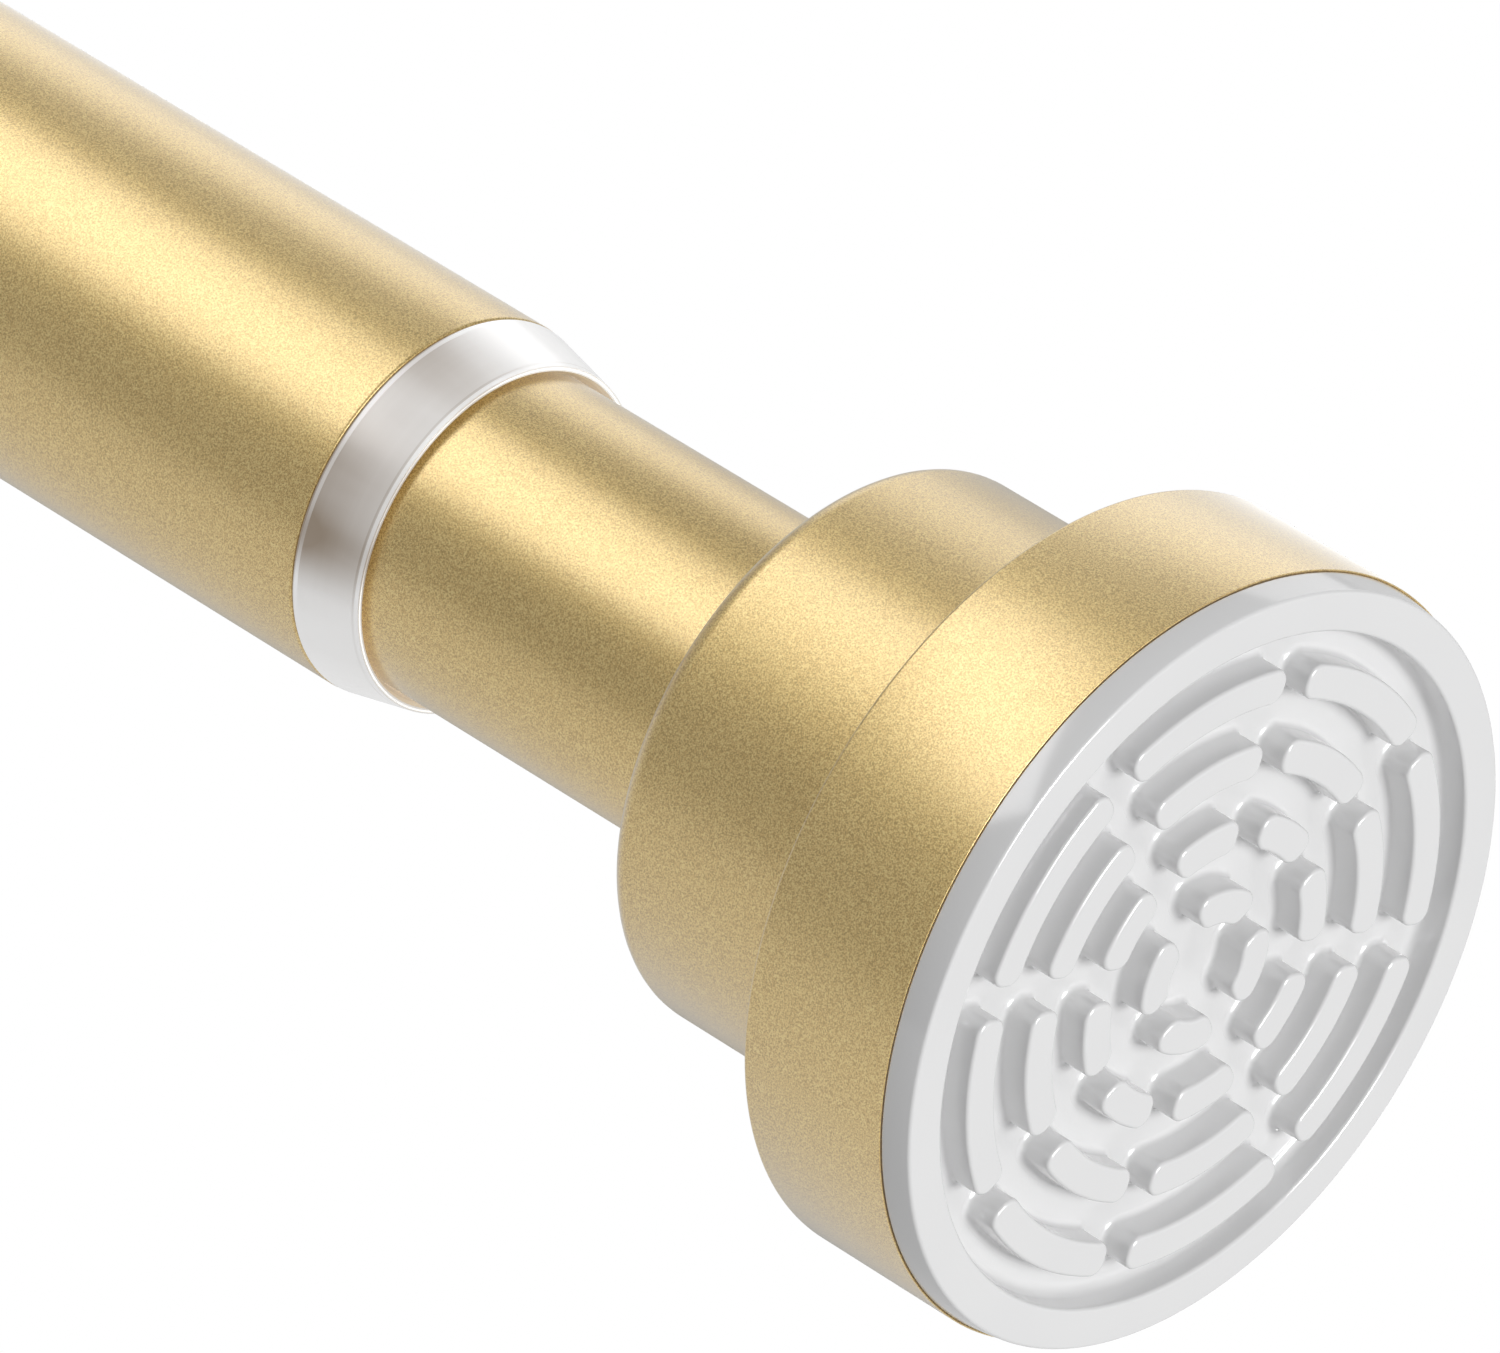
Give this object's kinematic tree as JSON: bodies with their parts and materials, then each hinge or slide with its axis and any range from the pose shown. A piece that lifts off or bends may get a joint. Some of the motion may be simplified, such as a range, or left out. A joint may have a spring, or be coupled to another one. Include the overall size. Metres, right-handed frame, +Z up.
{
  "type": "spring tension rod",
  "caption": "Telescoping round rod with a twist lock and an inner spring, wedged between two walls by stepped end caps with ribbed rubber pads.",
  "frame": {"origin": "centre of the fixed end's wall pad, on the plane of its rim", "axes": "+X along the rod from the fixed end to the sliding end, +Z up"},
  "size_m": [0.4345, 0.0504, 0.0504],
  "materials": {
    "gold_tube": "satin champagne-gold metallic coat on steel tube",
    "gold_cap": "the same champagne-gold coat on moulded plastic",
    "pale_rubber": "matt, very light grey",
    "clear_plastic": "clear, smooth",
    "white_plastic": "as moulded",
    "grey_plastic": "as moulded",
    "steel": "bright zinc plated",
    "spring_steel": "oiled spring wire"
  },
  "bodies": {
    "outer_half": {"outer_tube": "gold_tube", "mouth_ring": "clear_plastic", "fixed_cap": "gold_cap", "fixed_pad": "pale_rubber", "fixed_plug": "grey_plastic", "fixed_washer": "steel", "fixed_screw": "steel"},
    "grip": {"lock_sleeve": "white_plastic"},
    "wedge": {"cone_nut": "grey_plastic"},
    "lock_spindle": {"spindle": "steel", "spindle_clip": "spring_steel", "thrust_washer": "steel", "spring_plate": "steel", "plate_screw": "steel"},
    "inner_half": {"inner_tube": "gold_tube", "guide_bush": "white_plastic", "spring": "spring_steel", "spring_stop": "grey_plastic", "sliding_cap": "gold_cap", "sliding_pad": "pale_rubber", "sliding_plug": "grey_plastic", "sliding_washer": "steel", "sliding_screw": "steel"}
  },
  "joints": [
    {"name": "telescope", "type": "slide", "parent": "outer_half", "child": "grip", "axis": [1, 0, 0], "range_m": [-0.012, 0.175]},
    {"name": "lock_twist", "type": "hinge", "parent": "grip", "child": "lock_spindle", "pos_m": [0.0883, 0, 0], "axis": [1, 0, 0], "range_deg": [0, 720]},
    {"name": "wedge_slide", "type": "slide", "parent": "grip", "child": "wedge", "axis": [1, 0, 0], "range_m": [-0.004, 0]},
    {"name": "spring_travel", "type": "slide", "parent": "lock_spindle", "child": "inner_half", "axis": [1, 0, 0], "range_m": [-0.015, 0], "stiffness_N_per_m": 3000, "springref_m": 0.004, "deforming": ["spring"]}
  ],
  "couplings": [
    {"joint": "wedge_slide", "follows": "lock_twist", "m_per_rad": -0.0003183}
  ]
}
